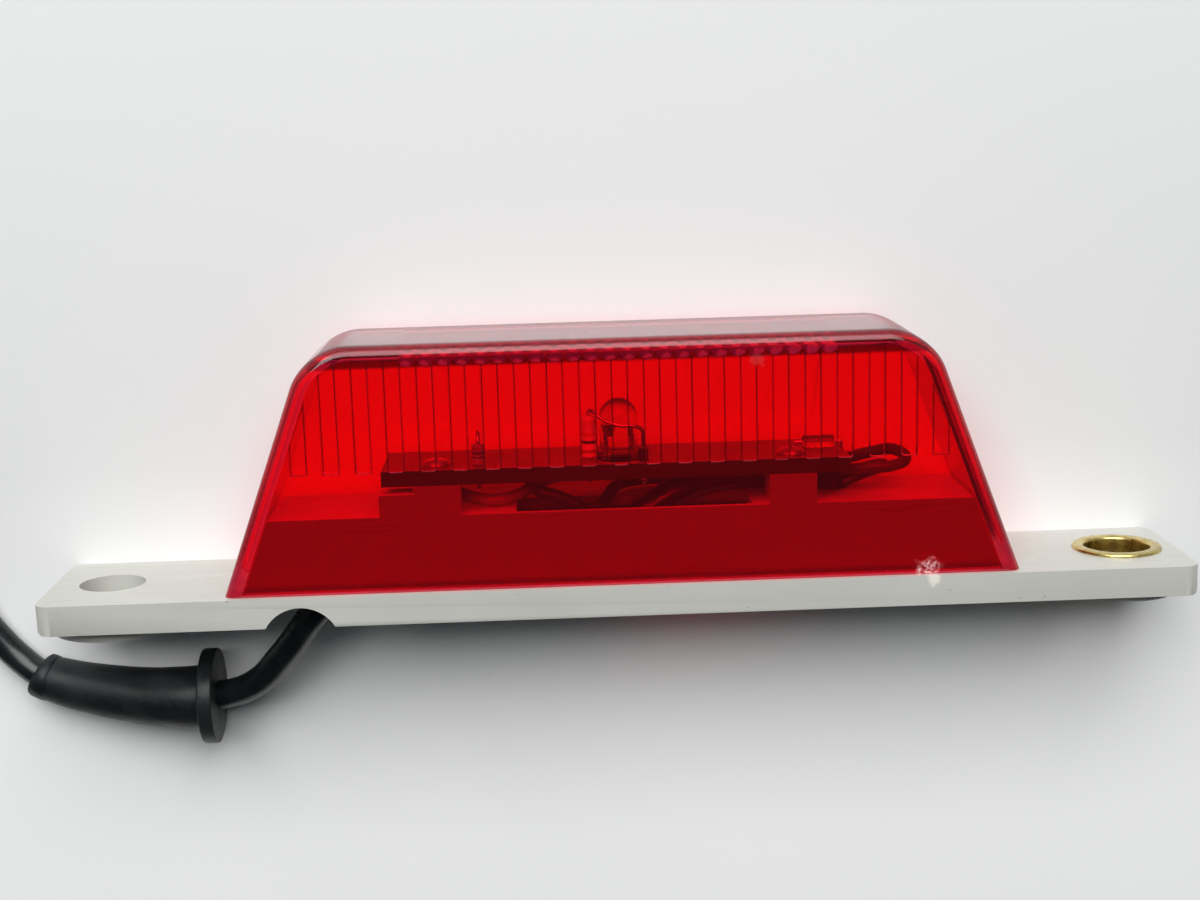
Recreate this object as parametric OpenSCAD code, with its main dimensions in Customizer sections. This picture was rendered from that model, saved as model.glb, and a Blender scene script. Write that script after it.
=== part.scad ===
// Third brake light: a red lens on a white two-hole housing, with a small circuit board inside
// and a two-core supply cable.  Lengths are in millimetres.
// The lamp lies on its long side: +X runs along it, +Z points out of the ribbed side of the lens
// and +Y runs from the mounting feet to the lens's crown.  Shapes are drawn with y = 0 at the
// housing's lower edge, and lamp() moves them so that the origin is the middle of the underside.

/* [Housing] */
// Overall length of the housing, end to end
base_l = 150; // [146:1:156]
// Width of the housing, across the lamp
base_d = 22; // [21.6:0.1:24]
// Height of the housing's rim
base_h = 3.9; // [3.7:0.1:4.4]
// Thickness of the rim wall
rim_t = 1.8; // [1.4:0.1:2.2]
// Thickness of the deck that closes the rim on top
deck_t = 1.3; // [1:0.1:1.6]
// Radius of the bowed ends, seen from above
bow_r = 80; // [76:1:120]
// Corner radius of the rim
corner_r = 2; // [1:0.1:3]

/* [Mounting] */
// Distance between the two mounting holes
hole_spacing = 134; // [132:0.5:136]
// Diameter of both mounting holes
hole_d = 8.6; // [8.2:0.1:9]
// Diameter of the round feet
foot_d = 16; // [15:0.5:17]
// How far the feet stand below the rim
foot_drop = 1.9; // [1.4:0.1:2.6]
// Width of the eyelet's flanges around the hole
eyelet_flange = 1.55; // [1.45:0.05:2]
// Thickness of the eyelet's metal
eyelet_t = 0.5; // [0.4:0.05:0.6]

/* [Cable outlet] */
// Radius of the arch in the rim
arch_r = 5.1; // [4.6:0.1:6]
// Height of the arch above the rim's lower edge
arch_h = 2.6; // [2.2:0.1:2.7]
// Position of the arch along the housing
arch_x = -41.1; // [-43:0.1:-38]

/* [Plinth] */
// Height of the plinth's top above the housing's lower edge
plinth_top = 13.4; // [13:0.1:14]
// Wall thickness of the plinth
plinth_t = 1.4; // [1:0.1:1.5]
// Left end of the slot in the plinth's top
slot_x0 = -13.2; // [-14:0.1:-12.6]
// Right end of the slot
slot_x1 = 17.2; // [14:0.1:18]
// Width of the two screw posts
post_w = 6; // [5.4:0.1:6.4]
// Height of the two screw posts above the plinth's top
post_h = 3.9; // [3.6:0.1:4.2]

/* [Lens] */
// Length of the lens at its foot
lens_l = 102.3; // [101:0.1:106]
// Height of the lens above the housing
lens_h = 31.75; // [30:0.25:36]
// Width of the lens
lens_d = 20; // [19.8:0.1:21]
// Wall thickness of the lens
lens_t = 2; // [1.6:0.1:2.1]
// Lean of the lens's ends from upright, in degrees
lens_lean = 20.25; // [16:0.25:22]
// Radius of the lens's two crown corners
crown_r = 8; // [6:0.5:10]
// Radius along the lens's long edges
edge_r = 1.5; // [1:0.1:1.8]
// Sideways offset of the lens and plinth from the middle of the housing
lens_x = 0.4; // [0:0.1:0.6]

/* [Optics] */
// Width of one upright rib inside the lens
rib_w = 2.03; // [1.6:0.01:2.4]
// Spacing of the ribs
rib_pitch = 4.085; // [4:0.005:4.2]
// Depth of a rib
rib_t = 0.3; // [0.2:0.05:0.3]
// Height of the ribs' lower ends above the housing's lower edge
rib_foot = 19.2; // [19:0.1:21]
// Spacing of the flutes under the crown
flute_pitch = 2.31; // [2.2:0.01:2.35]
// Depth of a flute
flute_t = 0.85; // [0.6:0.05:1]

/* [Circuit board] */
// Length of the board
board_l = 59.9; // [57:0.1:64]
// Width of the board
board_d = 13.2; // [12.8:0.1:13.3]
// Thickness of the board
board_t = 2; // [1.6:0.1:2.2]

/* [Cable] */
// Diameter of the sheathed cable
cable_d = 3.9; // [3.6:0.05:3.9]
// Diameter of one core
core_d = 1.6; // [1.3:0.05:1.7]
// Mean diameter of the coil
coil_d = 43; // [39:1:47]
// Diameter of the strain relief's flange
relief_d = 12.9; // [12:0.1:12.9]

/* [Hidden] */

fine = 64;                                     // facets on true round surfaces
soft = 32;                                     // facets on blended surfaces
eps = 0.01;

lens_top = base_h + lens_h;
mid_y = (lens_top - foot_drop) / 2;            // from the housing's lower edge to the origin
mid_z = base_d / 2;
hole_x = hole_spacing / 2;
corner_in = 0.3;                               // how far the bow's corners lie inside its middle
lower_r = 1.5;                                 // rounding under the two ends
foot_top = base_h - 0.2;                       // the feet end just below the deck's top face
lens_z0 = (base_d - lens_d) / 2 + 0.05;
lens_z1 = lens_z0 + lens_d;
lean = tan(lens_lean);
end_t = lens_t / cos(lens_lean);               // a leaning end wall, measured along x

wall_gap = 0.25;                               // between the plinth and the lens around it
rib_gap = 0.05;                                // between the board and the lens's ribs
rib_corner = 0.4;                              // rounding of a rib's two lower corners
plinth_z0 = lens_z0 + lens_t + wall_gap;
plinth_z1 = lens_z1 - lens_t - rib_t - rib_gap;
slot_z0 = plinth_z1 - 9;
slot_z1 = plinth_z1 - 0.9;

board_y = plinth_top + post_h;                 // the board's lower face
board_z1 = plinth_z1;
board_z0 = board_z1 - board_d;
board_x = -0.25;                               // middle of the board
board_top = board_y + board_t;
post_x = [-23.2, 22.4];
post_z = plinth_z1 - 2.85;
post_z0 = plinth_z1 - 5.7;
gusset_l = 4.4;                                // stiffener beside the left post
gusset_h = 2.85;
gusset_z0 = plinth_z1 - 4.2;
screw_hole_r = 1;
screw_grip = 5.5;                              // length of a screw below its head
screw_hole_h = 5;                              // depth of its hole in the post

led_x = 0.3;
led_z = board_z1 - 4.2;
led_r = 2.45;
led_h = 7.9;
lead_r = 0.25;
lead_hole_r = 0.4;
tall_x = -3.6;                                 // tall resistor, beside the diode lamp
tall_z = board_z1 - 3.5;
tall_far = [3.3, board_z1 - 1.5];              // where its long lead comes down, x and z
// Its long lead's bends, from its foot on the board.
tall_bends = [[0, 5.8, 0], [0, 6.3, 0], [0.4, 6.5, 0.6], [2, 5.4, 1.8], [4, 4.8, 2.4],
              [6, 4.6, 2.4], [6.8, 4.1, 2.2]];
short_x = -17.8;
short_z = [board_z1 - 1.8, board_z1 - 4.4];    // its body and its returning lead
glass_x = [24.4, 28.6];
glass_z = board_z1 - 6.6;
glass_r = 0.85;
glass_y = board_top + glass_r;
glass_foot = 0.9;                              // from the glass to each lead's bend

cable_r = cable_d / 2;
core_r = core_d / 2;
relief_r = relief_d / 2;

// Every lead hole in the board, as x and z.
lead_holes = [[led_x - 1.27, led_z], [led_x + 1.27, led_z], [tall_x, tall_z], tall_far,
              [short_x, short_z[0]], [short_x, short_z[1]],
              [glass_x[0] - glass_foot, glass_z], [glass_x[1] + glass_foot, glass_z]];
// Where the two cores are soldered to the board's lower face, as x and z.
core_pads = [[-23.2, board_z1 - 8.3], [-11.2, board_z1 - 3.7]];

// Route of the sheathed cable: from its cut end under the board, through the slot, inside the
// plinth, out under the arch, through the strain relief and along the surface to the coil.
cable_route = [[29.8, 15.1, 11.2], [27, 15.25, 9.8], [23, 15.35, 8.4], [18, 15.35, 8.4],
               [13, 15.35, 9.8], [8.5, 14.4, 11.4], [3.5, 11.5, 12.2], [-2, 9, 12.2],
               [-10, 8.4, 12], [-20, 8.4, 12], [-29, 7.2, 12.5], [-36, 3.4, 13],
               [-41.2, -1.6, 12.6], [-45.3, -7, 10.4], [-49.8, -11.6, 8.2], [-54.6, -13.5, 6.5],
               [-59.5, -13.7, 6.4], [-64.6, -13.6, 5.6], [-70.2, -13, 4.7], [-75.1, -12.1, 3.9],
               [-79.4, -10.8, 3.2], [-82.6, -8.6, 2.3], [-85.3, -5.7, 2], [-88, -1.6, 2],
               [-90, 4.2, 2], [-91.4, 10.5, 2], [-92.25, 17, 2]];
relief_ring0 = 15;                             // the route's stretch inside the strain relief
relief_ring1 = 20;
coil_x = -115.7;
coil_y = 17;
coil_turn_w = 2 * cable_d;
coil_turn_h = 1.9 * cable_d;
tie_turn = 30;                                 // place of the tie around the coil, in degrees
tie_t = 0.8;
tie_w = 3;
plug_x = coil_x - coil_d / 2 + 1;
plug_y = -16;
plug_z = 4.5;
// Route of the cable's short end: from the top turn over the outer turn to the connector.
tail_route = [[plug_x - 1, coil_y, 5.5], [plug_x - 1, 12, 5.8], [plug_x - 0.9, 7.6, 5.9],
              [plug_x - 0.7, 2, 5.7], [plug_x - 0.4, -4, 5], [plug_x - 0.1, -10, 4.6],
              [plug_x, plug_y, plug_z]];

brown_route = [[29.8, 16, 11.2], [33, 16.6, 13], [36.4, 16.8, 13], [38.2, 17.4, 11.4],
               [37, 18.2, 9.2], [34, 17.4, 7], [31, 16.5, 5.4], [27, 16.3, 4.9],
               [18, 16.3, 4.9], [8, 16.3, 4.9], [0, 16.3, 5.6], [-6, 16.2, 8.2],
               [-10.4, 15.7, 11.6], [-13, 14.8, 14], [-16, 14.4, 15], [-18.6, 14.5, 13.6],
               [-20.6, 14.8, 11.6], [-22.6, 15.3, 10.5], [-23.2, 16.4, 10.4],
               [-23.2, 17.3, 10.4]];
black_route = [[29.8, 14.3, 11.2], [32.6, 15.4, 10.8], [35.4, 16.1, 9.8], [35.6, 15.9, 7.6],
               [32.4, 14.9, 5.6], [27, 14.4, 4.9], [18, 14.4, 4.9], [9, 14.4, 4.9],
               [3.6, 14.5, 5.6], [0.6, 14.5, 8], [-0.6, 14.3, 10.6], [-2, 13, 12.4],
               [-3.6, 12.5, 13.7], [-5.6, 13.5, 14.6], [-8, 14.7, 15], [-10.4, 15.5, 15],
               [-11.2, 16.5, 15], [-11.2, 17.3, 15]];

// ---- general shapes ----

// Puts a shape drawn from the housing's lower edge into the lamp's own frame.
module lamp() translate([0, -mid_y, 0]) children();

// A cylinder along +Y from p.
module y_rod(p, r, h, n = fine)
    translate(p) rotate([-90, 0, 0]) cylinder(r = r, h = h, $fn = n);

// A cylinder along +X from p.
module x_rod(p, r, h, n = fine)
    translate(p) rotate([0, 90, 0]) cylinder(r = r, h = h, $fn = n);

// A profile, drawn as radius and height, turned about a line along +Y through p.
module y_turned(p, n = fine) translate(p) rotate([-90, 0, 0]) rotate_extrude($fn = n) children();

// A box from corner p with size s and round corners of radius r, seen along z.
module round_box(p, s, r) translate(p) {
    translate([r, 0, 0]) cube([s[0] - 2 * r, s[1], s[2]]);
    translate([0, r, 0]) cube([s[0], s[1] - 2 * r, s[2]]);
    for (x = [r, s[0] - r], y = [r, s[1] - r])
        translate([x, y, 0]) cylinder(r = r, h = s[2], $fn = fine);
}

function unit(v) = v / norm(v);
function clamp(i, n) = max(0, min(n - 1, i));

// A smooth curve through the points p, with n steps between neighbours.
function blend(a, b, c, d, t) =
    0.5 * ((2 * b) + (c - a) * t + (2 * a - 5 * b + 4 * c - d) * t * t
           + (3 * b - a - 3 * c + d) * t * t * t);
function smooth(p, n) = concat(
    [for (i = [0 : len(p) - 2], k = [0 : n - 1])
        blend(p[clamp(i - 1, len(p))], p[i], p[i + 1], p[clamp(i + 2, len(p))], k / n)],
    [p[len(p) - 1]]);

// Directions along a curve, and side directions that turn with it as little as they can.
function headings(q) =
    [for (i = [0 : len(q) - 1]) unit(q[clamp(i + 1, len(q))] - q[clamp(i - 1, len(q))])];
function level(s, t) = unit(s - (s * t) * t);
function side_dirs(t) =
    [for (i = 0, s = level([0.1, 0.2, 1], t[0]); i < len(t);
          i = i + 1, s = i < len(t) ? level(s, t[i]) : s) s];

// A round bar along the curve q; radii holds one radius for each point of the curve.
module bar(q, radii, n = 8) {
    t = headings(q);
    s = side_dirs(t);
    last = len(q) - 1;
    points = [for (i = [0 : last], k = [0 : n - 1])
        q[i] + radii[i] * (cos(360 * k / n) * s[i] + sin(360 * k / n) * cross(t[i], s[i]))];
    walls = [for (i = [0 : last - 1], k = [0 : n - 1])
        [i * n + k, (i + 1) * n + k, (i + 1) * n + (k + 1) % n, i * n + (k + 1) % n]];
    polyhedron(points, concat(walls, [[for (k = [0 : n - 1]) k],
                                      [for (k = [n - 1 : -1 : 0]) last * n + k]]));
}
function same(r, q) = [for (p = q) r];

// ---- housing ----

// The lamp's leaning outline between two heights; half is its half length at the housing's deck.
module leaning(half, y0, y1, z0, z1)
    translate([lens_x, 0, z0]) linear_extrude(z1 - z0) polygon([
        for (c = [[-1, y0], [1, y0], [1, y1], [-1, y1]])
            [c[0] * (half - lean * (c[1] - base_h)), c[1]]]);

plinth_half = lens_l / 2 - end_t - wall_gap;

// The rim's solid: bowed ends, rounded upright corners and a rounded lower edge at each end.
module rim_solid() intersection() {
    for (side = [-1, 1])
        y_rod([side * (base_l / 2 - bow_r), 0, mid_z], bow_r, base_h, 4 * fine);
    translate([0, base_h, 0]) rotate([90, 0, 0])
        round_box([-base_l / 2 + corner_in, 0, 0], [base_l - 2 * corner_in, base_d, base_h],
                  corner_r);
    union() {
        round_box([-base_l / 2, 0, 0], [base_l, base_h, base_d], lower_r);
        translate([-base_l / 2, base_h / 2, 0]) cube([base_l, base_h / 2, base_d]);
    }
}

// Everything the housing leaves free between its rim walls, below its deck.
module rim_hollow() intersection_for(side = [-1, 1])
    intersection() {
        y_rod([side * (base_l / 2 - bow_r), -1, mid_z], bow_r - rim_t,
              base_h - deck_t + 1, 4 * fine);
        translate([-base_l / 2, -1, rim_t]) cube([base_l, base_h - deck_t + 1, base_d - 2 * rim_t]);
    }

module plinth_solid() leaning(plinth_half, base_h - 0.5, plinth_top, plinth_z0, plinth_z1);

module plinth_hollow() leaning(plinth_half - plinth_t / cos(lens_lean), 0, plinth_top - plinth_t,
                               plinth_z0 + plinth_t, plinth_z1 - plinth_t);

module screw_post(x) translate([x - post_w / 2, plinth_top - plinth_t, post_z0])
    cube([post_w, board_y - plinth_top + plinth_t, plinth_z1 - post_z0]);

module base_housing() color("#eceae2") lamp() difference() {
    union() {
        difference() {
            union() {
                rim_solid();
                plinth_solid();
            }
            rim_hollow();
            plinth_hollow();
        }
        for (x = [-hole_x, hole_x])
            let (low = x < 0 ? -foot_drop : -foot_drop + eyelet_t)
                y_rod([x, low, mid_z], foot_d / 2, foot_top - low);
        for (x = post_x) screw_post(x);
        translate([post_x[0] - post_w / 2 - gusset_l, plinth_top - plinth_t, gusset_z0])
            cube([gusset_l + 0.1, gusset_h + plinth_t, plinth_z1 - gusset_z0]);
    }
    y_rod([-hole_x, -foot_drop - 1, mid_z], hole_d / 2, base_h + foot_drop + 2);
    y_rod([hole_x, -foot_drop - 1, mid_z], hole_d / 2 + eyelet_t, base_h + foot_drop + 2);
    translate([arch_x, arch_h - arch_r, base_d - rim_t - 1])
        cylinder(r = arch_r, h = rim_t + 2, $fn = fine);
    translate([slot_x0, plinth_top - plinth_t - 1, slot_z0])
        cube([slot_x1 - slot_x0, plinth_t + 2, slot_z1 - slot_z0]);
    for (x = post_x) y_rod([x, board_y - screw_hole_h, post_z], screw_hole_r, screw_hole_h + 1);
}

// A rolled brass eyelet: a thin barrel with a rounded flange above the deck and one under the foot.
module brass_eyelet() color("#b08d3c") lamp() {
    inner = hole_d / 2;
    outer = inner + eyelet_flange;
    roll = eyelet_t;
    low = -foot_drop;
    y_turned([hole_x, 0, mid_z]) {
        polygon([[inner, low + roll], [inner + roll, low + roll], [inner + roll, base_h],
                 [inner, base_h]]);
        difference() {
            union() {
                translate([inner, base_h]) square([outer - inner - roll, roll]);
                translate([outer - roll, base_h]) circle(r = roll, $fn = soft);
            }
            translate([inner - 1, base_h - 2]) square([outer, 2]);
        }
        translate([inner, low]) square([outer - inner - roll / 2, roll]);
        translate([outer - roll / 2, low + roll / 2]) circle(r = roll / 2, $fn = soft);
    }
}

// ---- lens ----

// One end of the lens's outer shape, for a hull: a crown corner with soft long edges.
module crown_corner(side, x, y) translate([lens_x + side * x, y, 0]) {
    for (z = [lens_z0 + edge_r, lens_z1 - edge_r])
        translate([0, 0, z]) rotate_extrude($fn = soft)
            translate([crown_r - edge_r, 0]) circle(r = edge_r, $fn = soft / 2);
}

module foot_corner(side) for (z = [lens_z0 + edge_r, lens_z1 - edge_r])
    translate([lens_x + side * (lens_l / 2 - edge_r), base_h, z])
        rotate([-90, 0, 0]) cylinder(r = edge_r, h = eps, $fn = soft);

module lens_solid() {
    top_half = lens_l / 2 - lean * lens_h;
    corner_y = lens_top - crown_r;
    corner_x = top_half + lean * crown_r - crown_r / cos(lens_lean);
    hull() for (side = [-1, 1]) {
        crown_corner(side, corner_x, corner_y);
        foot_corner(side);
    }
}

module lens_hollow() {
    half = lens_l / 2 - end_t;
    r = crown_r - lens_t;
    y1 = lens_top - lens_t;
    x1 = half - lean * (y1 - base_h) + lean * r - r / cos(lens_lean);
    touch_x = x1 + r * cos(lens_lean);
    touch_y = y1 - r + r * sin(lens_lean);
    translate([lens_x, 0, lens_z0 + lens_t]) linear_extrude(lens_d - 2 * lens_t) {
        polygon([[-half - lean, base_h - 1], [half + lean, base_h - 1], [touch_x, touch_y],
                 [x1, y1], [-x1, y1], [-touch_x, touch_y]]);
        for (side = [-1, 1]) translate([side * x1, y1 - r]) circle(r = r, $fn = fine);
    }
}

// One upright rib seen from the front, with its two lower corners rounded.
module rib_outline() hull() {
    for (side = [-1, 1])
        translate([side * (rib_w / 2 - rib_corner), rib_foot + rib_corner])
            circle(r = rib_corner, $fn = fine);
    translate([-rib_w / 2, lens_top - 1]) square([rib_w, 1]);
}

// Upright ribs behind the wide face.
module lens_ribs() intersection() {
    union() for (k = [-10 : 10])
        translate([lens_x + k * rib_pitch, 0, lens_z1 - lens_t - rib_t])
            linear_extrude(rib_t + 0.2) rib_outline();
    leaning(lens_l / 2 - end_t / 2, base_h, lens_top - lens_t / 2, lens_z1 - lens_t - 2, lens_z1);
}

// Half-round flutes across the crown.
module lens_flutes() for (k = [0 : 23])
    translate([lens_x + (k - 11.5) * flute_pitch, lens_top - lens_t + 0.3, lens_z0 + lens_t / 2])
        cylinder(r = flute_t + 0.3, h = lens_d - lens_t, $fn = soft);

module lens() color("#d80a14", 0.55) lamp() union() {
    difference() {
        lens_solid();
        lens_hollow();
    }
    lens_ribs();
    lens_flutes();
}

// ---- circuit board ----

module circuit_board() color("#5d5a26") lamp() difference() {
    translate([board_x - board_l / 2, board_y, board_z0]) cube([board_l, board_t, board_d]);
    for (x = post_x) y_rod([x, board_y - 1, post_z], screw_hole_r + 0.15, board_t + 2);
    for (h = lead_holes) y_rod([h[0], board_y - 1, h[1]], lead_hole_r, board_t + 2, soft);
}

// Two self-tapping screws with low cross-slotted heads.
module board_screws() color("#c8c8c6") lamp() for (x = post_x) difference() {
    y_turned([x, board_top, post_z]) {
        translate([0, -screw_grip]) square([screw_hole_r - 0.02, screw_grip + eps]);
        polygon([[0, 0], [1.9, 0], [1.9, 0.35], [1.55, 0.75], [0.9, 0.95], [0, 1]]);
    }
    for (turn = [0, 90]) translate([x, board_top + 0.75, post_z]) rotate([0, turn, 0])
        cube([2, 0.7, 0.4], center = true);
}

module led_body() color("#e6e6e6", 0.5) lamp() y_turned([led_x, board_top, led_z]) {
    square([led_r + 0.4, 1]);
    square([led_r, led_h - led_r]);
    intersection() {
        translate([0, led_h - led_r]) circle(r = led_r, $fn = fine);
        square([led_r, led_h]);
    }
}

// A wire that stands in the board, from the board's lower face up to height top.
module wire_post(x, z, top) y_rod([x, board_y, z], lead_r, top - board_y, soft);

module led_leads() color("#b9bcc0") lamp() for (side = [-1, 1])
    wire_post(led_x + side * 1.27, led_z, board_top);

module tall_resistor() color("#c9a777") lamp()
    y_turned([tall_x, board_top + 0.4, tall_z]) polygon([
        [0, 0], [0.8, 0], [1, 0.2], [1, 1.1], [0.9, 1.3], [0.9, 4.1], [1, 4.3], [1, 5.2],
        [0.8, 5.4], [0, 5.4]]);

// Its lower lead, and the long upper lead that crosses in front of the lamp and comes down.
module tall_resistor_leads() color("#b9bcc0") lamp() {
    wire_post(tall_x, tall_z, board_top + 0.4);
    start = [tall_x, board_top, tall_z];
    q = smooth(concat([for (p = tall_bends) start + p],
                      [[tall_far[0], board_top + 3.1, tall_far[1]],
                       [tall_far[0], board_y, tall_far[1]]]), 4);
    bar(q, same(lead_r, q));
}

module short_resistor() color("#7fa7b8") lamp()
    y_turned([short_x, board_top + 0.2, short_z[0]]) polygon([
        [0, 0], [0.65, 0], [0.82, 0.2], [0.82, 0.8], [0.74, 1], [0.74, 1.7], [0.82, 1.9],
        [0.82, 2.5], [0.65, 2.7], [0, 2.7]]);

module short_resistor_leads() color("#b9bcc0") lamp() {
    wire_post(short_x, short_z[0], board_top + 0.2);
    bend = (short_z[0] - short_z[1]) / 2;
    top = board_top + 2.9;
    wire_post(short_x, short_z[1], top);
    translate([short_x, top, short_z[1] + bend]) rotate([0, -90, 0])
        rotate_extrude(angle = 180, $fn = fine) translate([bend, 0]) circle(r = lead_r, $fn = soft);
}

module glass_diode() color("#c4561c") lamp()
    x_rod([glass_x[0], glass_y, glass_z], glass_r, glass_x[1] - glass_x[0]);

module diode_leads() color("#b9bcc0") lamp() for (side = [0, 1]) {
    x = glass_x[side] + (side * 2 - 1) * glass_foot;
    low = min(x, glass_x[side]);
    x_rod([low, glass_y, glass_z], lead_r, glass_foot, soft);
    translate([x, glass_y, glass_z]) sphere(r = lead_r, $fn = soft);
    wire_post(x, glass_z, glass_y);
}

module lead_sleeve() color("#1c1c1e") lamp() difference() {
    y_rod([tall_far[0], board_top, tall_far[1]], 0.65, 1.7, soft);
    y_rod([tall_far[0], board_top - 1, tall_far[1]], lead_r + 0.02, 4, soft);
}

// A cone of solder under each lead and a bead beside each core.
module solder_joints() color("#a9abad") lamp() {
    for (h = lead_holes) y_turned([h[0], board_y, h[1]], soft)
        polygon([[0, 0], [0.75, 0], [0.35, -0.35], [0.24, -0.9], [0, -1]]);
    for (p = core_pads) y_turned([p[0] + 1.75, board_y, p[1]], soft)
        polygon([[0, 0], [0.9, 0], [0.75, -0.35], [0.4, -0.6], [0, -0.7]]);
}

// ---- cable ----

module supply_cable() color("#17181a") lamp() {
    q = smooth(cable_route, 3);
    bar(q, same(cable_r, q));
}

module brown_core() color("#6a2c1c") lamp() {
    q = smooth(brown_route, 3);
    bar(q, same(core_r, q));
}

module black_core() color("#1a1a1c") lamp() {
    q = smooth(black_route, 3);
    bar(q, same(core_r, q));
}

// A rubber strain relief: a flange and a sleeve that tapers as it follows the cable.
module strain_relief() color("#1d1e20") lamp() {
    q = smooth([for (i = [relief_ring0 : relief_ring1]) cable_route[i]], 3);
    long = smooth([for (i = [relief_ring0 - 1 : relief_ring1 + 1]) cable_route[i]], 3);
    last = len(q) - 1;
    difference() {
        union() {
            bar(q, [for (i = [0 : last]) 4.35 - 1.3 * i / last], 24);
            x_rod([-56.9, -13.55, relief_r], relief_r, 2);
        }
        bar(long, same(cable_r + 0.04, long), 24);
    }
}

// The outer shape of the coiled cable: two turns side by side and a third one on top.
module cable_coil() color("#17181a") lamp() difference() {
    translate([coil_x, coil_y, 0]) rotate_extrude($fn = fine) translate([coil_d / 2, 0]) {
        for (x = [-1, 1]) translate([x * cable_r, cable_r]) circle(r = cable_r, $fn = soft);
        translate([0, coil_turn_h - cable_r]) circle(r = cable_r, $fn = soft);
        polygon([[-cable_r, 0], [cable_r, 0], [cable_d * 0.94, cable_d * 0.72],
                 [cable_r * 0.87, coil_turn_h - cable_r * 0.5],
                 [-cable_r * 0.87, coil_turn_h - cable_r * 0.5], [-cable_d * 0.94, cable_d * 0.72]]);
    }
    at_tie() translate([-cable_d - 1, -eps, 0]) cube([2 * cable_d + 2, tie_t + eps, tie_w]);
}

// The short end of the cable, from the coil to the connector.
module cable_tail() color("#17181a") lamp() {
    q = smooth(tail_route, 3);
    bar(q, same(cable_r, q));
}

// Where the tie sits on the coil: x runs outwards, y up and z along the turns.
module at_tie() translate([coil_x, coil_y, 0]) rotate([0, 0, tie_turn])
    translate([coil_d / 2, tie_w / 2, 0]) rotate([90, 0, 0]) children();

// A plastic band around all three turns, which it lifts by its own thickness.
module coil_tie() color("#202124") lamp() at_tie() difference() {
    translate([-coil_turn_w / 2 - tie_t, 0, 0])
        cube([coil_turn_w + 2 * tie_t, coil_turn_h + 2 * tie_t, tie_w]);
    translate([-coil_turn_w / 2, tie_t, -1]) cube([coil_turn_w, coil_turn_h, tie_w + 2]);
}

// ---- connector ----

module connector_boot() color("#2b2c30") lamp() difference() {
    translate([0, plug_y, 0]) mirror([0, 1, 0]) y_turned([plug_x, -3, plug_z]) {
        square([3.1, 9.5]);
        for (k = [0 : 3]) translate([3.1, 1.4 + 2.2 * k]) circle(r = 0.5, $fn = soft);
    }
    y_rod([plug_x, plug_y, plug_z], cable_r + 0.05, 10);
}

module connector_housing() color("#1f2023") lamp() difference() {
    translate([plug_x - 8.5, plug_y - 6.5 - 20, 0]) rotate([90, 0, 0]) mirror([0, 0, 1])
        round_box([0, 0, 0], [17, 9, 20], 1.5);
    for (side = [-1, 1]) y_rod([plug_x + side * 4, plug_y - 6.5 - 21, plug_z], 2.6, 15);
}

module connector_terminals() color("#b8923f") lamp() for (side = [-1, 1])
    y_rod([plug_x + side * 4, plug_y - 6.5 - 16, plug_z], 1.2, 10, soft);

base_housing();
brass_eyelet();
lens();
circuit_board();
board_screws();
led_body();
led_leads();
tall_resistor();
tall_resistor_leads();
short_resistor();
short_resistor_leads();
glass_diode();
diode_leads();
lead_sleeve();
solder_joints();
supply_cable();
brown_core();
black_core();
strain_relief();
cable_coil();
cable_tail();
coil_tie();
connector_boot();
connector_housing();
connector_terminals();
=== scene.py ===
# %% [markdown]
# # Third brake light
# A slim red brake light: a white housing with two mounting holes, a clear red lens, a circuit
# board with one diode lamp inside, and a black two-core cable.  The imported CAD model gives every
# place and size.  This lesson adds what CAD leaves out: soft moulded edges, clear plastic that
# bends light, the cable's real length, and finishes with their wear.

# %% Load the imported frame
import math
import bmesh
import bpy
from mathutils import Matrix, Vector
from mathutils.noise import noise


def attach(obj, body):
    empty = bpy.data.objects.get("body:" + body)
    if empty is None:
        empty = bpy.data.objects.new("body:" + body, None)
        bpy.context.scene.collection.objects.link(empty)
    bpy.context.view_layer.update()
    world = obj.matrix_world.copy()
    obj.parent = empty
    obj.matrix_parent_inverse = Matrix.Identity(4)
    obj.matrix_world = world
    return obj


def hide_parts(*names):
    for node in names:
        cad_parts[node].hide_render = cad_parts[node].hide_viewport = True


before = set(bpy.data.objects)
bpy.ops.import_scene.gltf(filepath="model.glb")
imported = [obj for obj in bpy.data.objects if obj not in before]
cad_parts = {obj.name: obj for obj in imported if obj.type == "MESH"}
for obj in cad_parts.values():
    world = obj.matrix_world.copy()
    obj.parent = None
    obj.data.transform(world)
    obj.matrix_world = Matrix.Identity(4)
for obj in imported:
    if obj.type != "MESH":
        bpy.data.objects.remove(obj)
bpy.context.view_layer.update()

# %% [markdown]
# All places below are written in millimetres, measured as the housing is drawn: x along the lamp,
# y up from the housing's lower edge and z out of the lens's wide side.  The frame's own origin is
# the middle of the lamp's underside, so one small function moves a drawn point into the frame and
# turns it into metres.

# %% From drawn millimetres to the frame
MM = 0.001
EDGE_Y = 16.875                                # housing's lower edge below the frame's origin


def at(x, y, z):
    return Vector((x, y - EDGE_Y, z)) * MM


print("housing's lower edge lies at y =", at(0, 0, 0).y, "m")

# %% [markdown]
# ## Camera
# The lamp lies on its long side, and we look almost straight down on it from 245 mm, leaning a
# little towards its crown.  The focal length and the angles come from the housing's straight edges
# and its two holes.  The camera and the cable come first, because the cable's length has to be
# stored outside the view.

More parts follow.
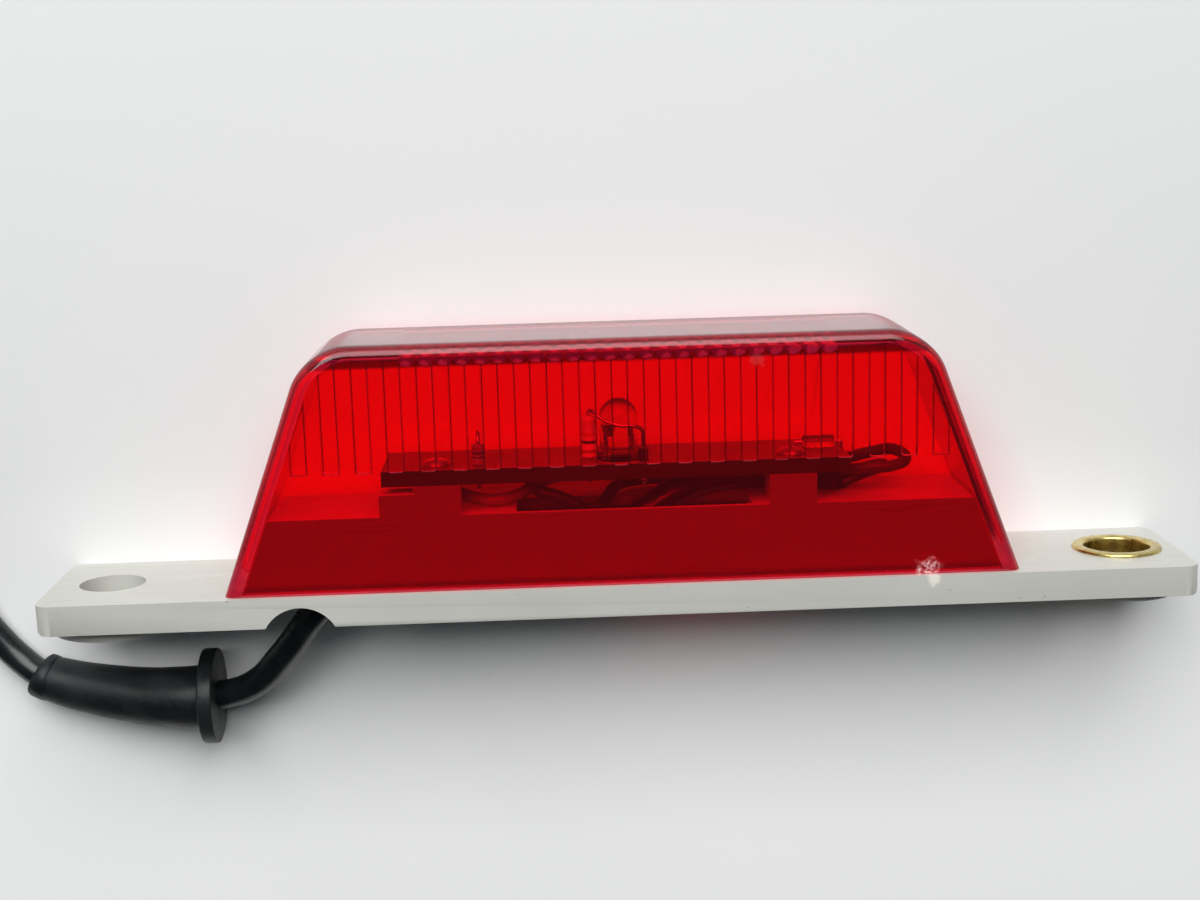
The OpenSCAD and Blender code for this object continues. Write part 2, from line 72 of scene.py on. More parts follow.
# %% Camera above the lamp
camera_data = bpy.data.cameras.new("looking_down")
camera_data.sensor_width = 36
camera_data.lens = 54.38
camera_data.clip_start = 0.01
camera_data.clip_end = 10
camera_data.dof.use_dof = False
camera = bpy.data.objects.new("looking_down", camera_data)
camera.location = at(-8.696, 64.571, 245.372)
camera.rotation_euler = [math.radians(a) for a in (-10.8038, -1.9331, -1.5991)]
bpy.context.collection.objects.link(camera)
bpy.context.scene.camera = camera
bpy.context.scene.view_settings.view_transform = "Standard"
print("camera at", [round(c, 4) for c in camera.location])

# %% [markdown]
# ## Supply cable
# The real cable is a round black sheath, 3.9 mm across, around two cores.  It leaves the open
# underside of the housing beside the arch, runs through a rubber strain relief and on across the
# table.  A lamp like this has about half a metre of it, so the rest is wound into a coil of two
# and a half turns: the first turn outside, the second inside it, and the last half turn in the
# groove on top of them.  A loop works out the coil.  A curve with a round bevel suits a cable
# best: its length can be measured along its line, and its thickness is one number.

# %% Where the cable runs on the table
CABLE_R = 1.95
loose_run = [
    (-41.2, -1.6, 12.6), (-45.3, -7, 10.4), (-49.8, -11.6, 8.2), (-54.6, -13.5, 6.5),
    (-59.5, -13.7, 6.4), (-64.6, -13.6, 5.6), (-70.2, -13, 4.7), (-75.1, -12.1, 3.9),
    (-79.4, -10.8, 3.2), (-82.6, -8.6, 2.3), (-85.3, -5.7, 2), (-88, -1.6, 2),
    (-90, 4.2, 2), (-91.4, 10.5, 2),
]
print("loose run has", len(loose_run), "points")

# %% The coil, point by point
COIL_X, COIL_Y = -115.7, 17
OUTER_R, INNER_R, TOP_R = 23.45, 19.55, 21.5
LOW_Z = 2.0
CLIMB, SETTLE = 3.9, 0.4                       # up onto the lower turns, then into their groove
COIL_TURNS = 2.5
TIE_ANGLE = 30
TIE_LIFT = 0.8


def ease(value, start, end):
    t = min(1, max(0, (value - start) / (end - start)))
    return t * t * (3 - 2 * t)


def coil_point(turned):
    radius = OUTER_R + (INNER_R - OUTER_R) * ease(turned, 300, 350)
    radius += (TOP_R - INNER_R) * ease(turned, 650, 710)
    height = LOW_Z + CLIMB * ease(turned, 600, 690) - SETTLE * ease(turned, 690, 730)
    past_tie = (turned - TIE_ANGLE + 180) % 360 - 180
    height += TIE_LIFT * (1 - ease(abs(past_tie), 6, 34))
    angle = math.radians(turned)
    return (COIL_X + radius * math.cos(angle), COIL_Y + radius * math.sin(angle), height)


coil_run = [coil_point(turned) for turned in range(0, round(360 * COIL_TURNS) + 1, 20)]
print("coil has", len(coil_run), "points for", COIL_TURNS, "turns")

# %% The short end to the connector
PLUG_X, PLUG_Y, PLUG_Z = -136.2, -16, 4.5
end_run = [
    (PLUG_X - 1, 12, 5.8), (PLUG_X - 0.9, 7.6, 5.9), (PLUG_X - 0.7, 2, 5.7),
    (PLUG_X - 0.4, -4, 5), (PLUG_X - 0.1, -10, 4.6), (PLUG_X, PLUG_Y, PLUG_Z),
]


def run_curve(name, points, radius, round_steps=5):
    line = bpy.data.curves.new(name, "CURVE")
    line.dimensions = "3D"
    line.resolution_u = 8
    line.bevel_depth = radius * MM
    line.bevel_resolution = round_steps
    line.use_fill_caps = True
    spline = line.splines.new("BEZIER")
    spline.bezier_points.add(len(points) - 1)
    for knot, point in zip(spline.bezier_points, points):
        knot.co = at(*point)
        knot.handle_left_type = "AUTO"
        knot.handle_right_type = "AUTO"
    piece = bpy.data.objects.new(name, line)
    bpy.context.collection.objects.link(piece)
    return piece


supply_cord = run_curve("supply_cord", loose_run + coil_run + end_run, CABLE_R)

# %% [markdown]
# Inside the housing the same sheath rises through the plinth's slot and ends under the board,
# where the two cores leave it.  It is a piece of its own, because the free length starts where the
# cable leaves the housing.  The brown and the black core turn back beyond the board's end and run
# along its rear edge to their solder pads.

# %% The sheath inside, and the two cores
inside_run = [
    (29.8, 15.1, 11.2), (27, 15.25, 9.8), (23, 15.35, 8.4), (18, 15.35, 8.4), (13, 15.35, 9.8),
    (8.5, 14.4, 11.4), (3.5, 11.5, 12.2), (-2, 9, 12.2), (-10, 8.4, 12), (-20, 8.4, 12),
    (-29, 7.2, 12.5), (-36, 3.4, 13), (-41.2, -1.6, 12.6), (-42.6, -3.4, 11.9),
]
brown_run = [
    (29.8, 16, 11.2), (33, 16.6, 13), (36.4, 16.8, 13), (38.2, 17.4, 11.4), (37, 18.2, 9.2),
    (34, 17.4, 7), (31, 16.5, 5.4), (27, 16.3, 4.9), (18, 16.3, 4.9), (8, 16.3, 4.9),
    (0, 16.3, 5.6), (-6, 16.2, 8.2), (-10.4, 15.7, 11.6), (-13, 14.8, 14), (-16, 14.4, 15),
    (-18.6, 14.5, 13.6), (-20.6, 14.8, 11.6), (-22.6, 15.3, 10.5), (-23.2, 16.4, 10.4),
    (-23.2, 17.3, 10.4),
]
black_run = [
    (29.8, 14.3, 11.2), (32.6, 15.4, 10.8), (35.4, 16.1, 9.8), (35.6, 15.9, 7.6),
    (32.4, 14.9, 5.6), (27, 14.4, 4.9), (18, 14.4, 4.9), (9, 14.4, 4.9), (3.6, 14.5, 5.6),
    (0.6, 14.5, 8), (-0.6, 14.3, 10.6), (-2, 13, 12.4), (-3.6, 12.5, 13.7), (-5.6, 13.5, 14.6),
    (-8, 14.7, 15), (-10.4, 15.5, 15), (-11.2, 16.5, 15), (-11.2, 17.3, 15),
]
CORE_R = 0.8
HIDDEN_STEP = 0.01                             # keeps the inner sheath just inside the outer one
sheath_inside = run_curve("sheath_inside", inside_run, CABLE_R - HIDDEN_STEP)
brown_wire = run_curve("brown_wire", brown_run, CORE_R, 3)
black_wire = run_curve("black_wire", black_run, CORE_R, 3)
for wire in (sheath_inside, brown_wire, black_wire):
    print(wire.name, round(wire.data.splines[0].calc_length() * 1000), "mm")

# %% [markdown]
# ## Table and light
# The lamp was laid on a plain white table beside a large window.  The window's side (+Y) is
# brighter than the ceiling, so faces that look towards the crown are lighter than faces that look
# up.  One wide area light does the window, and a pale world does the rest of the room.

# %% Table
table_mesh = bpy.data.meshes.new("white_table")
table = bpy.data.objects.new("white_table", table_mesh)
bpy.context.collection.objects.link(table)
sheet = bmesh.new()
TABLE_HALF = 1.5                               # metres
TABLE_GAP = 0.02                               # mm below the lamp, so that no faces coincide
bmesh.ops.create_grid(sheet, x_segments=1, y_segments=1, size=TABLE_HALF)
bmesh.ops.translate(sheet, verts=sheet.verts, vec=(0, 0, -TABLE_GAP * MM))
sheet.to_mesh(table_mesh)
sheet.free()
print("table", len(table_mesh.polygons), "face")

# %% Window light and room light


def wide_light(name, place, size, watts, colour):
    data = bpy.data.lights.new(name, "AREA")
    data.shape = "RECTANGLE"
    data.size = size[0]
    data.size_y = size[1]
    data.energy = watts
    data.color = colour
    lamp = bpy.data.objects.new(name, data)
    lamp.location = place
    lamp.rotation_euler = Vector(place).to_track_quat("Z", "Y").to_euler()
    bpy.context.collection.objects.link(lamp)
    return lamp


wide_light("window", (-0.13, 0.93, 1.18), (1.5, 1.18), 28.5, (1, 0.995, 0.985))

# %% [markdown]
# ## Finishes
# Every finish is built from the same few steps: a shader, soft noise in object coordinates for
# colour that isn't quite even, and a fine bump.  The helpers below add one step each, so a
# finish reads as a short list.  The room light's few nodes are laid with them too.

# %% Helpers: a shader, its nodes and their links


def finish(name, roughness, metallic=0.0):
    material = bpy.data.materials.new(name)
    material.use_nodes = True
    shader = material.node_tree.nodes["Principled BSDF"]
    shader.inputs["Roughness"].default_value = roughness
    shader.inputs["Metallic"].default_value = metallic
    return material, shader


def node(material, kind, **settings):
    made = material.node_tree.nodes.new(kind)
    for key, value in settings.items():
        setattr(made, key, value)
    return made


def join(material, output, socket):
    material.node_tree.links.new(output, socket)


def shader_of(material):
    return material.node_tree.nodes["Principled BSDF"]


print("node helpers ready")

# %% Helpers: places, facing and noise


def place_of(material):
    for old in material.node_tree.nodes:
        if old.type == "TEX_COORD":
            return old.outputs["Object"]
    return node(material, "ShaderNodeTexCoord").outputs["Object"]


def axis_of(material, axis):
    split = node(material, "ShaderNodeSeparateXYZ")
    join(material, place_of(material), split.inputs["Vector"])
    return split.outputs[axis]


def grain(material, size_mm, detail=4, roughness=0.55, stretch=None):
    speckle = node(material, "ShaderNodeTexNoise")
    speckle.inputs["Scale"].default_value = 1 / (size_mm * MM)
    speckle.inputs["Detail"].default_value = detail
    speckle.inputs["Roughness"].default_value = roughness
    source = place_of(material)
    if stretch:
        mapping = node(material, "ShaderNodeMapping")
        mapping.inputs["Scale"].default_value = stretch
        join(material, source, mapping.inputs["Vector"])
        source = mapping.outputs["Vector"]
    join(material, source, speckle.inputs["Vector"])
    return speckle.outputs["Fac"]


print("place helpers ready")

# %% Helpers: ramps, sums and blends


def steps(material, value, stops):
    ramp = node(material, "ShaderNodeValToRGB")
    while len(ramp.color_ramp.elements) < len(stops):
        ramp.color_ramp.elements.new(0.5)
    for element, (position, colour) in zip(ramp.color_ramp.elements, stops):
        element.position = position
        element.color = (*colour, 1)
    join(material, value, ramp.inputs["Fac"])
    return ramp.outputs["Color"]


def between(material, value, low, high, new_low, new_high):
    mapped = node(material, "ShaderNodeMapRange")
    for socket, number in zip(mapped.inputs[1:5], (low, high, new_low, new_high)):
        socket.default_value = number
    join(material, value, mapped.inputs["Value"])
    return mapped.outputs["Result"]


def sums(material, operation, first, second):
    made = node(material, "ShaderNodeMath", operation=operation)
    for socket, value in zip(made.inputs, (first, second)):
        if isinstance(value, (int, float)):
            socket.default_value = value
        else:
            join(material, value, socket)
    return made.outputs["Value"]


def blend_colours(material, share, first, second):
    mixer = node(material, "ShaderNodeMix", data_type="RGBA")
    join(material, share, mixer.inputs["Factor"])
    for socket, value in zip((mixer.inputs["A"], mixer.inputs["B"]), (first, second)):
        if isinstance(value, tuple):
            socket.default_value = (*value, 1)
        else:
            join(material, value, socket)
    return mixer.outputs["Result"]


print("blend helpers ready")

# %% Helpers: masks and bump


def climb(material, low_mm, high_mm, below=0, above=1):
    low, high = at(0, low_mm, 0).y, at(0, high_mm, 0).y
    return between(material, axis_of(material, "Y"), low, high, below, above)


def facing(material, axis):
    split = node(material, "ShaderNodeSeparateXYZ")
    normal = node(material, "ShaderNodeNewGeometry").outputs["Normal"]
    join(material, normal, split.inputs["Vector"])
    return sums(material, "ABSOLUTE", split.outputs[axis], 0)


def bumps(material, shader, heights):
    last = None
    for height, depth_mm in heights:
        relief = node(material, "ShaderNodeBump")
        relief.inputs["Strength"].default_value = 1
        relief.inputs["Distance"].default_value = depth_mm * MM
        join(material, height, relief.inputs["Height"])
        if last is not None:
            join(material, last, relief.inputs["Normal"])
        last = relief.outputs["Normal"]
    join(material, last, shader.inputs["Normal"])


def spot(material, x, y, z, radius_mm, edge_mm, ragged_mm=0.6):
    away = node(material, "ShaderNodeVectorMath", operation="DISTANCE")
    join(material, place_of(material), away.inputs[0])
    away.inputs[1].default_value = at(x, y, z)
    ragged = between(material, grain(material, 1.2, 5), 0, 1, -ragged_mm * MM, ragged_mm * MM)
    reach = sums(material, "ADD", away.outputs["Value"], ragged)
    return between(material, reach, (radius_mm - edge_mm) * MM, radius_mm * MM, 1, 0)


print("mask helpers ready")

# %% [markdown]
# The room's light comes from its walls.  Overhead it is dim, where whoever looks down on the lamp
# stands, so the flat face of the lens mirrors nothing and its red stays deep.  The world's own
# direction gives both: its z dims the ceiling, and its y brightens the window's side.  A faint
# bluish patch is added straight overhead.

# %% Room light from the walls
CEILING_GLOW = 0.045
room = bpy.data.worlds.new("pale_room")
room.use_nodes = True
backdrop = room.node_tree.nodes["Background"]
split_way = node(room, "ShaderNodeSeparateXYZ")
join(room, node(room, "ShaderNodeTexCoord").outputs["Generated"], split_way.inputs["Vector"])
overhead = between(room, split_way.outputs["Z"], 0.6, 0.9, 0.45, 0.1)
window_side = between(room, split_way.outputs["Y"], -0.1, 0.6, 0.04, 1.0)
ceiling = between(room, split_way.outputs["Z"], 0.86, 0.95, 0, 1)
from_walls = sums(room, "MULTIPLY", overhead, window_side)
from_ceiling = sums(room, "MULTIPLY", ceiling, CEILING_GLOW)
join(room, sums(room, "ADD", from_ceiling, from_walls), backdrop.inputs["Strength"])
hue = steps(room, ceiling, [(0, (0.95, 0.985, 1)), (1, (0.4, 0.7, 1))])
join(room, hue, backdrop.inputs["Color"])
bpy.context.scene.world = room
print("room light has", len(room.node_tree.nodes), "nodes")

# %% [markdown]
# The table is a painted board: nearly even white, with a few grey specks and faint scuffs.  The
# specks come from a coarse noise cut off near its top, so only its rare peaks show.  A strip along
# the lamp is painted a little greyer.  It isn't wear: the window light alone leaves it too bright.

# %% Table finish
paint, shader = finish("table_paint", 0.55)
cloud = steps(paint, grain(paint, 90, 2), [
    (0.3, (0.91, 0.925, 0.92)), (0.7, (0.945, 0.955, 0.95))])
dust = between(paint, grain(paint, 5.5, 6, 0.6), 0.72, 0.755, 0, 0.5)
scuff = between(paint, grain(paint, 16, 5, 0.6, (0.3, 1.8, 1)), 0.68, 0.74, 0, 0.1)
marked = blend_colours(paint, dust, cloud, (0.45, 0.44, 0.42))
marked = blend_colours(paint, scuff, marked, (0.6, 0.6, 0.6))
across = axis_of(paint, "Y")
toned_down = sums(paint, "SUBTRACT", between(paint, across, -0.035, 0.0, 0, 1),
                  between(paint, across, 0.0, 0.09, 0, 0.5))
marked = blend_colours(paint, toned_down, marked, (0.78, 0.795, 0.795))
join(paint, marked, shader.inputs["Base Color"])
bumps(paint, shader, [(grain(paint, 1.5, 3), 0.01)])
table_mesh.materials.append(paint)
print("table finish has", len(paint.node_tree.nodes), "nodes")

# %% [markdown]
# The housing is an ivory-white moulding.  Real ones are never one flat white: the plastic yellows
# a little, dirt settles in patches, and handling leaves short scratches.  The moulding's skin is
# smooth with a slight orange-peel wave, which shows only in its reflections.  Above the deck,
# inside the lens, the same plastic is painted darker, and its upright front much darker.  That
# isn't its real colour: it makes up for the red light in there, which comes out too bright.

# %% Ivory plastic
ivory, shader = finish("housing_plastic", 0.34)
base = steps(ivory, grain(ivory, 22, 3), [
    (0.3, (0.525, 0.53, 0.485)), (0.75, (0.575, 0.58, 0.54))])
dirt = between(ivory, grain(ivory, 2.2, 6, 0.65), 0.62, 0.78, 0, 0.4)
base = blend_colours(ivory, dirt, base, (0.42, 0.39, 0.33))
specks = between(ivory, grain(ivory, 0.7, 3, 0.5), 0.74, 0.78, 0, 0.8)
base = blend_colours(ivory, specks, base, (0.25, 0.23, 0.2))
above_deck = climb(ivory, 4.0, 4.2)
front = between(ivory, facing(ivory, "Z"), 0.8, 0.9, 0, 1)
front_wall = sums(ivory, "MULTIPLY", front, above_deck)
base = blend_colours(ivory, above_deck, base, (0.52, 0.48, 0.42))
base = blend_colours(ivory, front_wall, base, (0.165, 0.135, 0.112))
glue = spot(ivory, 39.9, 3.5, 22, 1.0, 0.5, 1.2)
base = blend_colours(ivory, glue, base, (0.85, 0.82, 0.74))
join(ivory, base, shader.inputs["Base Color"])
scratch = grain(ivory, 3, 4, 0.7, (0.12, 1.6, 1.6))
join(ivory, between(ivory, scratch, 0.35, 0.7, 0.26, 0.5), shader.inputs["Roughness"])
bumps(ivory, shader, [(grain(ivory, 1.4, 2), 0.012), (scratch, 0.006)])
print("ivory plastic has", len(ivory.node_tree.nodes), "nodes")

# %% [markdown]
# The lens is clear red acrylic.  It lets red through and holds back nearly all green and blue, so
# everything behind it looks red.  Glass shaders block the lamps' direct light, which would leave
# the inside black, so rays that look for a lamp meet a red transparent shader instead.  Masks in
# the lens's own coordinates paint the rounded rim, the crown's flutes, the edges of the ribs and
# the foot darker, and the top of the crown paler.  The moulding itself is one even red.  These
# tints stand in for reflections and for light inside the walls, so they stay put under any light,
# and the pale crown looks greyish from behind.  Near the right of its foot is a whitish chip,
# crusted perhaps with glue, and there is a small scuff under the crown.

# %% Lens sizes
LENS_X, LENS_FOOT, LENS_TOP = 0.4, 3.9, 35.65
LENS_Z0, LENS_Z1 = 1.05, 21.05
LENS_L, LENS_T = 102.3, 2.0
LEAN_DEGREES = 20.25
LEAN = math.tan(math.radians(LEAN_DEGREES))
END_T = LENS_T / math.cos(math.radians(LEAN_DEGREES))
RIBS, RIB_PITCH, RIB_W, RIB_T, RIB_FOOT = 21, 4.085, 2.03, 0.3, 19.2
print("lens height", LENS_TOP - LENS_FOOT, "mm, end wall along x", round(END_T, 2), "mm")

# %% Tint of the red acrylic
red, shader = finish("lens_red", 0.03)
tint = steps(red, grain(red, 30, 2), [
    (0.3, (0.88, 0.018, 0.045)), (0.7, (0.91, 0.024, 0.055))])
# The crown's flutes are painted darker: painted shade.
flute_shade = sums(red, "MULTIPLY", climb(red, 32.6, 32.9), climb(red, 33.9, 34.2, 1, 0))
tint = blend_colours(red, flute_shade, tint, (0.2, 0.005, 0.03))
print("tint of the walls and the flutes")

# %% Its rounded rim, where the light runs along inside the wall
out_x = sums(red, "ABSOLUTE", sums(red, "SUBTRACT", axis_of(red, "X"), LENS_X * MM), 0)
risen = sums(red, "SUBTRACT", axis_of(red, "Y"), at(0, LENS_FOOT, 0).y)
leaned = sums(red, "ADD", out_x, sums(red, "MULTIPLY", risen, LEAN))
half = LENS_L / 2
rim = sums(red, "MAXIMUM", between(red, leaned, (half - 1.6) * MM, (half - 0.9) * MM, 0, 1),
           climb(red, 34.2, 34.6))
# The rounded rim is painted a darker crimson: painted shade.
tint = blend_colours(red, rim, tint, (0.5, 0.012, 0.05))
# The crown's top is painted paler and a little less clear: a painted reflection of the window.
crown_reflection = climb(red, 35.45, 35.6)
tint = blend_colours(red, crown_reflection, tint, (0.82, 0.71, 0.71))
print("tint of the rim and the crown")

# %% The edges of its ribs, and its foot
rib_start = LENS_X - RIBS / 2 * RIB_PITCH
from_rib = sums(red, "SUBTRACT", axis_of(red, "X"), rib_start * MM)
from_rib = sums(red, "PINGPONG", from_rib, RIB_PITCH / 2 * MM)
off_edge = sums(red, "SUBTRACT", from_rib, (RIB_PITCH - RIB_W) / 2 * MM)
rib_edge_shade = between(red, sums(red, "ABSOLUTE", off_edge, 0), 0.1 * MM, 0.19 * MM, 0.8, 0)
depth = axis_of(red, "Z")
inner_skin = sums(red, "MULTIPLY", between(red, depth, 18.6 * MM, 18.7 * MM, 0, 1),
                  between(red, depth, 19.1 * MM, 19.2 * MM, 1, 0))
ribbed = sums(red, "MULTIPLY", climb(red, RIB_FOOT - 0.1, RIB_FOOT), inner_skin)
# The ribs' edges are painted as dark lines: painted shade.
tint = blend_colours(red, sums(red, "MULTIPLY", rib_edge_shade, ribbed), tint, (0.28, 0.006, 0.02))
# The lens's foot is painted darker: painted shade.
tint = blend_colours(red, climb(red, 4.6, 5.2, 1, 0), tint, (0.5, 0.01, 0.03))
print("tint of the ribs and the foot")

# %% Its chip, scuff and polish
chip = spot(red, 39.6, 4.7, 21.2, 1.9, 0.7, 2.2)
scuffed = spot(red, 17.66, 32.3, 21.1, 1.2, 1, 1.6)
crust = between(red, grain(red, 0.6, 5, 0.7), 0.42, 0.6, 0, 1)
chipped = sums(red, "MULTIPLY", chip, crust)
join(red, blend_colours(red, chipped, tint, (0.95, 0.62, 0.62)), shader.inputs["Base Color"])
clear_share = sums(red, "SUBTRACT", between(red, chipped, 0, 1, 0.98, 0.25),
                   sums(red, "MULTIPLY", crown_reflection, 0.1))
join(red, clear_share, shader.inputs["Transmission Weight"])
shader.inputs["IOR"].default_value = 1.49
hairs = grain(red, 2.5, 5, 0.75, (1, 0.15, 1))
hairlines = between(red, hairs, 0.45, 0.75, 0.015, 0.09)
broken = sums(red, "MULTIPLY", sums(red, "MAXIMUM", chip, scuffed), 0.5)
rough = sums(red, "MAXIMUM", hairlines, broken)
rough = sums(red, "MAXIMUM", rough, sums(red, "MULTIPLY", rim, 0.27))
join(red, rough, shader.inputs["Roughness"])
bumps(red, shader, [(grain(red, 7, 2), 0.01)])
print("polish and marks ready")

# %% A clear way through it for the lamps' rays
clear_way = node(red, "ShaderNodeBsdfTransparent")
through = blend_colours(red, rim, (0.92, 0.3, 0.4), (0.84, 0.2, 0.27))
join(red, through, clear_way.inputs["Color"])
rays = node(red, "ShaderNodeLightPath")
either = node(red, "ShaderNodeMixShader")
join(red, rays.outputs["Is Shadow Ray"], either.inputs["Fac"])
join(red, shader.outputs["BSDF"], either.inputs[1])
join(red, clear_way.outputs["BSDF"], either.inputs[2])
join(red, either.outputs["Shader"], red.node_tree.nodes["Material Output"].inputs["Surface"])
print("red acrylic has", len(red.node_tree.nodes), "nodes")

# %% [markdown]
# The remaining finishes are short.  Brass and steel are metals with fine turning marks, rubber and
# cable sheath are nearly black with a soft sheen, and the board is laminate with a faint weave.
# The brown core is painted darker where it turns back, which the light here leaves too bright.

# %% Plain finish with grain


def grained(name, dark, light, roughness, size_mm, bump_mm, metallic=0.0, stretch=None):
    material, shader = finish(name, roughness, metallic)
    patch = grain(material, size_mm, 4, 0.6, stretch)
    colour = steps(material, patch, [(0.3, dark), (0.7, light)])
    join(material, colour, shader.inputs["Base Color"])
    fine = grain(material, size_mm * 0.22, 3)
    spread = between(material, patch, 0.3, 0.7, roughness * 0.8, min(1, roughness * 1.25))
    join(material, spread, shader.inputs["Roughness"])
    bumps(material, shader, [(fine, bump_mm)])
    return material


brass = grained("eyelet_brass", (0.43, 0.31, 0.1), (0.77, 0.64, 0.26), 0.27, 1.6, 0.006, 1.0)
steel = grained("screw_steel", (0.42, 0.42, 0.41), (0.68, 0.68, 0.66), 0.3, 0.8, 0.006, 1.0)
tinned = grained("tinned_wire", (0.5, 0.51, 0.53), (0.72, 0.73, 0.75), 0.28, 0.7, 0.004, 1.0)
solder = grained("solder", (0.45, 0.46, 0.48), (0.7, 0.71, 0.73), 0.24, 0.5, 0.01, 1.0)
contact = grained("terminal_brass", (0.4, 0.3, 0.12), (0.66, 0.5, 0.22), 0.3, 1, 0.005, 1.0)
print("metals ready")

# %% Rubber, sheath and black plastics
sheath = grained("cable_sheath", (0.005, 0.007, 0.008), (0.011, 0.014, 0.016), 0.27, 5, 0.01)
rubber = grained("relief_rubber", (0.007, 0.0085, 0.0095), (0.016, 0.019, 0.022), 0.42, 3, 0.03)
shader_of(rubber).inputs["Specular IOR Level"].default_value = 0.3
boot = grained("boot_rubber", (0.014, 0.0145, 0.016), (0.028, 0.029, 0.032), 0.55, 3, 0.03)
nylon = grained("tie_plastic", (0.015, 0.0155, 0.017), (0.026, 0.027, 0.029), 0.38, 2, 0.012)
shell = grained("connector_plastic", (0.018, 0.0185, 0.02), (0.034, 0.035, 0.037), 0.42, 2, 0.02)
sleeve = grained("sleeve_black", (0.01, 0.01, 0.011), (0.02, 0.02, 0.022), 0.4, 1, 0.01)
brown = grained("core_brown", (0.16, 0.055, 0.03), (0.26, 0.09, 0.05), 0.38, 2, 0.008)
core_colour = shader_of(brown).inputs["Base Color"]
turned_back = between(brown, axis_of(brown, "X"), 0.02, 0.03, 0, 0.85)
clean = core_colour.links[0].from_socket
join(brown, blend_colours(brown, turned_back, clean, (0.02, 0.01, 0.008)), core_colour)
black = grained("core_black", (0.012, 0.012, 0.013), (0.024, 0.024, 0.026), 0.36, 2, 0.008)
print("rubber and sheath ready")

# %% Board laminate with a fine glass weave
laminate, shader = finish("board_laminate", 0.42)


def weave(direction):
    wave = node(laminate, "ShaderNodeTexWave", wave_type="BANDS", bands_direction=direction)
    wave.inputs["Scale"].default_value = 420
    wave.inputs["Distortion"].default_value = 0.6
    join(laminate, place_of(laminate), wave.inputs["Vector"])
    return wave.outputs["Fac"]


threads = sums(laminate, "MULTIPLY", weave("X"), weave("Z"))
resin = steps(laminate, threads, [(0.0, (0.18, 0.15, 0.045)), (1.0, (0.28, 0.23, 0.08))])
stain = between(laminate, grain(laminate, 4, 4), 0.45, 0.75, 0, 0.6)
resin = blend_colours(laminate, stain, resin, (0.09, 0.06, 0.03))
# The board's edges are painted nearly black: painted shade, not the laminate's own colour.
edge_shade = between(laminate, facing(laminate, "Y"), 0.2, 0.6, 1, 0)
resin = blend_colours(laminate, edge_shade, resin, (0.015, 0.012, 0.008))
join(laminate, resin, shader.inputs["Base Color"])
bumps(laminate, shader, [(threads, 0.01)])
print("laminate has", len(laminate.node_tree.nodes), "nodes")

# %% [markdown]
# Resistors are dipped in lacquer and wear colour rings around their bodies.  The rings follow the
# height above the board, so a ramp on the object's y coordinate paints them.  The diode lamp is
# water-clear epoxy, and the small diode is orange glass.  Epoxy bends light by 1.53; it is given
# only 1.4 here, so that its outline stays faint behind the ribs.

# %% Lacquer with colour rings
RING_W = 0.08                                  # of the body's height


def ringed(name, ground, low_mm, high_mm, rings):
    material, shader = finish(name, 0.3)
    ramp = node(material, "ShaderNodeValToRGB")
    ramp.color_ramp.interpolation = "CONSTANT"
    ramp.color_ramp.elements[0].color = (*ground, 1)
    ramp.color_ramp.elements.remove(ramp.color_ramp.elements[1])
    for start, colour in rings:
        band = ramp.color_ramp.elements.new(start)
        band.color = (*colour, 1)
        after = ramp.color_ramp.elements.new(start + RING_W)
        after.color = (*ground, 1)
    join(material, climb(material, low_mm, high_mm), ramp.inputs["Fac"])
    blotch = between(material, grain(material, 0.6, 3), 0.4, 0.8, 0, 0.35)
    mixed = blend_colours(material, blotch, ramp.outputs["Color"], tuple(c * 0.7 for c in ground))
    join(material, mixed, shader.inputs["Base Color"])
    bumps(material, shader, [(grain(material, 0.4, 2), 0.01)])
    return material


BOARD_TOP = 19.3
tan = ringed("tan_lacquer", (0.62, 0.45, 0.27), BOARD_TOP + 0.4, BOARD_TOP + 5.8, [
    (0.12, (0.25, 0.06, 0.02)), (0.34, (0.02, 0.02, 0.02)), (0.52, (0.5, 0.02, 0.02)),
    (0.82, (0.55, 0.4, 0.1))])
blue = ringed("blue_lacquer", (0.22, 0.42, 0.55), BOARD_TOP + 0.2, BOARD_TOP + 2.9, [
    (0.12, (0.3, 0.16, 0.02)), (0.34, (0.02, 0.02, 0.02)), (0.54, (0.02, 0.02, 0.02)),
    (0.8, (0.3, 0.06, 0.03))])
print("lacquers ready")

# %% Clear epoxy and orange glass


def clear(name, dark, light, ior):
    material, shader = finish(name, 0.04)
    tone = steps(material, grain(material, 1.5, 2), [(0.3, dark), (0.7, light)])
    join(material, tone, shader.inputs["Base Color"])
    shader.inputs["Transmission Weight"].default_value = 1
    shader.inputs["IOR"].default_value = ior
    bumps(material, shader, [(grain(material, 2, 2), 0.004)])
    return material


epoxy = clear("lamp_epoxy", (0.9, 0.9, 0.88), (0.97, 0.97, 0.95), 1.4)
amber = clear("diode_glass", (0.75, 0.24, 0.05), (0.85, 0.34, 0.08), 1.5)
print("finishes:", len(bpy.data.materials))

# %% [markdown]
# ## Moulded pieces
# A CAD solid has knife-sharp edges.  A real moulding or stamping has small radii that catch a line
# of light.  For pieces whose shape is already right, a copy of the CAD mesh is merged, its flat
# triangles are dissolved into whole faces, and a narrow bevel modifier rounds the edges.

# %% A softened copy of a CAD piece


def put(piece, nodes, material):
    if piece.data.materials:
        piece.data.materials[0] = material
    else:
        piece.data.materials.append(material)
    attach(piece, "root")
    if nodes:
        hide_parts(*nodes)


def mesh_piece(name, shape):
    bmesh.ops.recalc_face_normals(shape, faces=shape.faces)
    mesh = bpy.data.meshes.new(name)
    shape.to_mesh(mesh)
    shape.free()
    piece = bpy.data.objects.new(name, mesh)
    bpy.context.collection.objects.link(piece)
    return piece


def smooth_by_angle(piece, degrees):
    for face in piece.data.polygons:
        face.use_smooth = True
    piece.data.set_sharp_from_angle(angle=math.radians(degrees))


